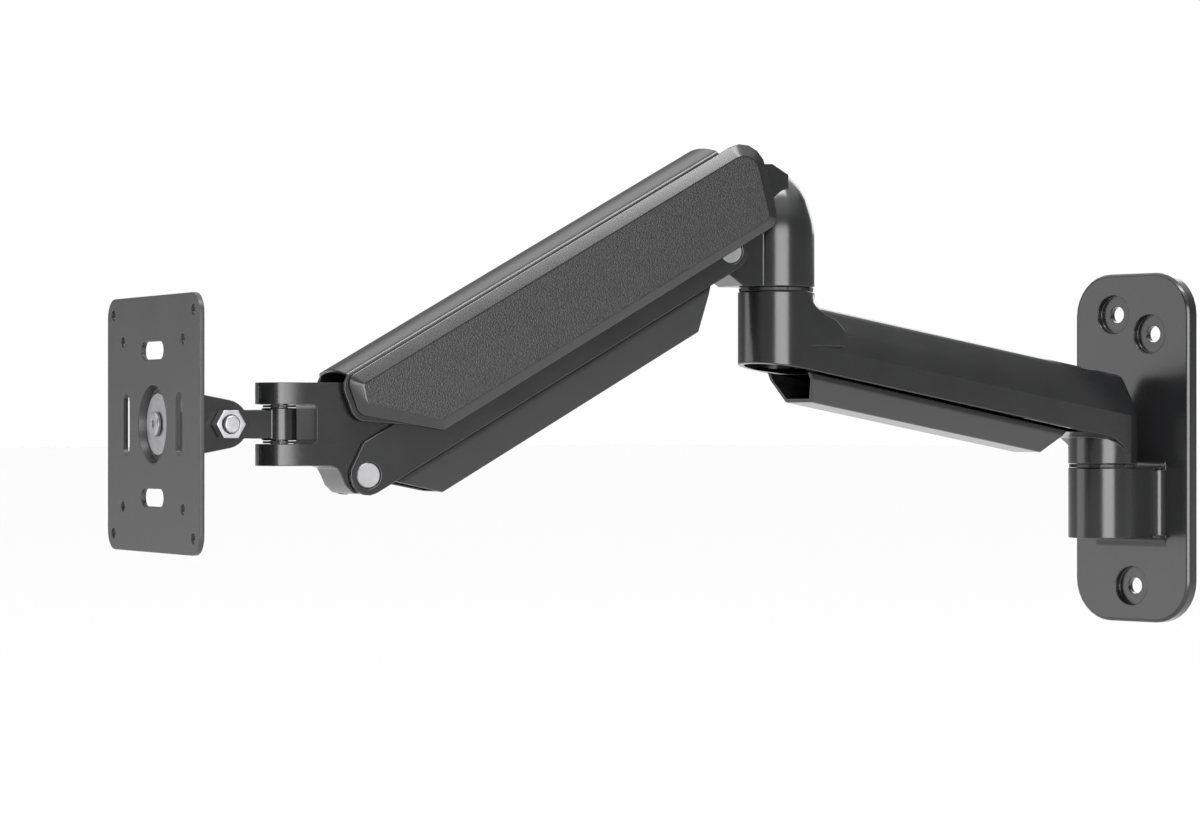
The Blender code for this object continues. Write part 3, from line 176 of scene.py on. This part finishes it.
def makeFinish(name, look):
    made = bpy.data.materials.new(name)
    made.use_nodes = True
    tree = made.node_tree
    shader = tree.nodes["Principled BSDF"]
    shader.inputs["Metallic"].default_value = look["metal"]
    shader.inputs["Coat Weight"].default_value = look["coat"]
    place = tree.nodes.new("ShaderNodeTexCoord")

    patch = tree.nodes.new("ShaderNodeTexNoise")      # broad, soft changes of sheen
    patch.inputs["Scale"].default_value = look["patch"]
    patch.inputs["Detail"].default_value = grain["broadDetail"]
    tree.links.new(place.outputs["Object"], patch.inputs["Vector"])
    sheen = tree.nodes.new("ShaderNodeMapRange")
    sheen.inputs["To Min"].default_value, sheen.inputs["To Max"].default_value = look["rough"]
    tree.links.new(patch.outputs["Fac"], sheen.inputs["Value"])
    tree.links.new(sheen.outputs["Result"], shader.inputs["Roughness"])

    tone = tree.nodes.new("ShaderNodeMix")
    tone.data_type = "RGBA"
    tone.inputs["A"].default_value = (*[c * (1 - look["tone"]) for c in look["colour"]], 1)
    tone.inputs["B"].default_value = (*[c * (1 + look["tone"]) for c in look["colour"]], 1)
    tree.links.new(patch.outputs["Fac"], tone.inputs["Factor"])

    peel = tree.nodes.new("ShaderNodeTexNoise")       # fine grain of the surface
    peel.inputs["Scale"].default_value = look["peel"]
    peel.inputs["Detail"].default_value = grain["fineDetail"]
    tree.links.new(place.outputs["Object"], peel.inputs["Vector"])
    if look["paintedGrainShade"]:                                 # painted shade in the grain's pits and painted highlight on its tops, following the bump's height
        pitShadeMap = tree.nodes.new("ShaderNodeMapRange")
        pitShadeMap.inputs["From Min"].default_value = grain["paintedShadeFrom"]
        pitShadeMap.inputs["From Max"].default_value = grain["paintedShadeTo"]
        pitShadeMap.inputs["To Min"].default_value = 1 - look["paintedGrainShade"]
        pitShadeMap.inputs["To Max"].default_value = 1 + look["paintedGrainShade"]
        tree.links.new(peel.outputs["Fac"], pitShadeMap.inputs["Value"])
        # base colour times the painted grain shade: darker in the pits, lighter on the tops
        grainShadedColour = tree.nodes.new("ShaderNodeVectorMath")
        grainShadedColour.operation = "SCALE"
        tree.links.new(tone.outputs["Result"], grainShadedColour.inputs[0])
        tree.links.new(pitShadeMap.outputs["Result"], grainShadedColour.inputs["Scale"])
        tree.links.new(grainShadedColour.outputs["Vector"], shader.inputs["Base Color"])
    else:
        tree.links.new(tone.outputs["Result"], shader.inputs["Base Color"])
    bump = tree.nodes.new("ShaderNodeBump")
    bump.inputs["Strength"].default_value = look["bump"]
    bump.inputs["Distance"].default_value = grain["height"]
    tree.links.new(peel.outputs["Fac"], bump.inputs["Height"])
    tree.links.new(bump.outputs["Normal"], shader.inputs["Normal"])
    return made


materials = {name: makeFinish(name, look) for name, look in finishes.items()}
slotFinish = {"casting": "satinCasting", "plastic": "coverPlastic", "grained": "grainedPlastic",
              "steel": "satinSteel", "cylinder": "tubePaint", "nylon": "nylon", "zinc": "zincPlate"}
ownFinish = {"lower_arm_link": "foldedSteel", "upper_arm_shell": "foldedSteel", "vesa_plate": "plateFinish"}
for nodeName, node in nodes.items():
    finishName = ownFinish.get(nodeName, slotFinish[slotOf[nodeName]])
    node.data.materials.clear()
    node.data.materials.append(materials[finishName])
print("finishes made")

# pieces with eased edges, made from the fixed model

# edge width and the length below which an edge is merged away, in metres; segments;
# the least angle in degrees that is eased, and the least that stays sharp
easing = {
    "wall_bracket": {"width": 0.0005, "segments": 3, "angle": 24, "crisp": 38, "merge": 0.0006},
    "extension_arm": {"width": 0.0005, "segments": 3, "angle": 20, "crisp": 14, "merge": 0.0003},
    "elbow_bracket": {"width": 0.0004, "segments": 3, "angle": 30, "crisp": 38, "merge": 0.0003},
    "head_bracket": {"width": 0.0004, "segments": 3, "angle": 30, "crisp": 20, "merge": 0.0001},
    "knuckle": {"width": 0.0005, "segments": 3, "angle": 30, "crisp": 38, "merge": 0.0006},
    "tilt_yoke": {"width": 0.0004, "segments": 3, "angle": 30, "crisp": 38, "merge": 0.0006},
    "lower_arm_link": {"width": 0.0006, "segments": 3, "angle": 30, "crisp": 38, "merge": 0.0003},
    "upper_arm_shell": {"width": 0.0005, "segments": 3, "angle": 30, "crisp": 38, "merge": 0.0003},
    "right_side_cover": {"width": 0.0004, "segments": 2, "angle": 24, "crisp": 20, "merge": 0.0003},
    "left_side_cover": {"width": 0.0004, "segments": 2, "angle": 24, "crisp": 20, "merge": 0.0003},
    "extension_cable_cover": {"width": 0.0006, "segments": 3, "angle": 24, "crisp": 38, "merge": 0.0003},
    "spring_cable_cover": {"width": 0.0006, "segments": 3, "angle": 24, "crisp": 38, "merge": 0.0003},
    "vesa_plate": {"width": 0.0004, "segments": 2, "angle": 30, "crisp": 38, "merge": 0.0003},
    "wall_notched_bush": {"width": 0.0002, "segments": 2, "angle": 30, "crisp": 38, "merge": 0.0003},
    "elbow_notched_bush": {"width": 0.0002, "segments": 2, "angle": 30, "crisp": 38, "merge": 0.0003},
    "gas_spring_cylinder": {"width": 0.0003, "segments": 2, "angle": 35, "crisp": 38, "merge": 0.0003},
    "clamp_disc": {"width": 0.0002, "segments": 2, "angle": 35, "crisp": 38, "merge": 0.0003},
    "centre_screw": {"width": 0.0002, "segments": 2, "angle": 35, "crisp": 38, "merge": 0.0003},
    "tilt_bolt": {"width": 0.0003, "segments": 2, "angle": 35, "crisp": 38, "merge": 0.0003},
    "tilt_nut": {"width": 0.0004, "segments": 2, "angle": 35, "crisp": 38, "merge": 0.0003},
}

# points closer than this are one point, and faces within this many degrees are one face
clean = {"samePoint": 2e-6, "sameFace": 0.6}


def easedCopy(nodeName, ease):
    bm = bmesh.new()
    bm.from_mesh(nodes[nodeName].data)
    bmesh.ops.remove_doubles(bm, verts=bm.verts, dist=clean["samePoint"])
    bmesh.ops.dissolve_limit(bm, angle_limit=math.radians(clean["sameFace"]), verts=bm.verts, edges=bm.edges)
    bmesh.ops.dissolve_degenerate(bm, dist=ease["merge"], edges=bm.edges)
    sharp = [e for e in bm.edges if e.is_manifold and e.calc_face_angle() > math.radians(ease["angle"])]
    bmesh.ops.bevel(bm, geom=sharp, offset=ease["width"], offset_type="OFFSET", affect="EDGES",
                    segments=ease["segments"], profile=0.5, clamp_overlap=False, material=-1)
    mesh = bpy.data.meshes.new(nodeName + "Eased")
    bm.to_mesh(mesh)
    bm.free()
    mesh.shade_smooth()
    mesh.set_sharp_from_angle(angle=math.radians(ease["crisp"]))
    mesh.materials.append(nodes[nodeName].data.materials[0])
    piece = bpy.data.objects.new(nodeName + "Eased", mesh)
    scene.collection.objects.link(piece)
    shading = piece.modifiers.new("shading", "WEIGHTED_NORMAL")
    shading.keep_sharp = True
    shading.weight = 100        # large flat faces keep their own direction
    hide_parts(nodeName)
    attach(piece, bodyOf[nodeName])
    return piece


# the spring arm's turn at rest in degrees; a grained face looks across it and is at least this large in m2
cover = {"turn": 16.3, "facing": 0.995, "leastArea": 0.0005}
coverTurn = math.radians(cover["turn"])
armAcross = Vector((math.cos(coverTurn), -math.sin(coverTurn), 0))


def grainOnlyTheFace(piece):
    mesh = piece.data
    mesh.materials.clear()
    mesh.materials.append(materials["coverPlastic"])
    mesh.materials.append(materials["grainedPlastic"])
    for face in mesh.polygons:
        if abs(face.normal.dot(armAcross)) > cover["facing"] and face.area > cover["leastArea"]:
            face.material_index = 1


for nodeName, ease in easing.items():
    piece = easedCopy(nodeName, ease)
    if nodeName.endswith("side_cover"):
        grainOnlyTheFace(piece)
print("edges eased")
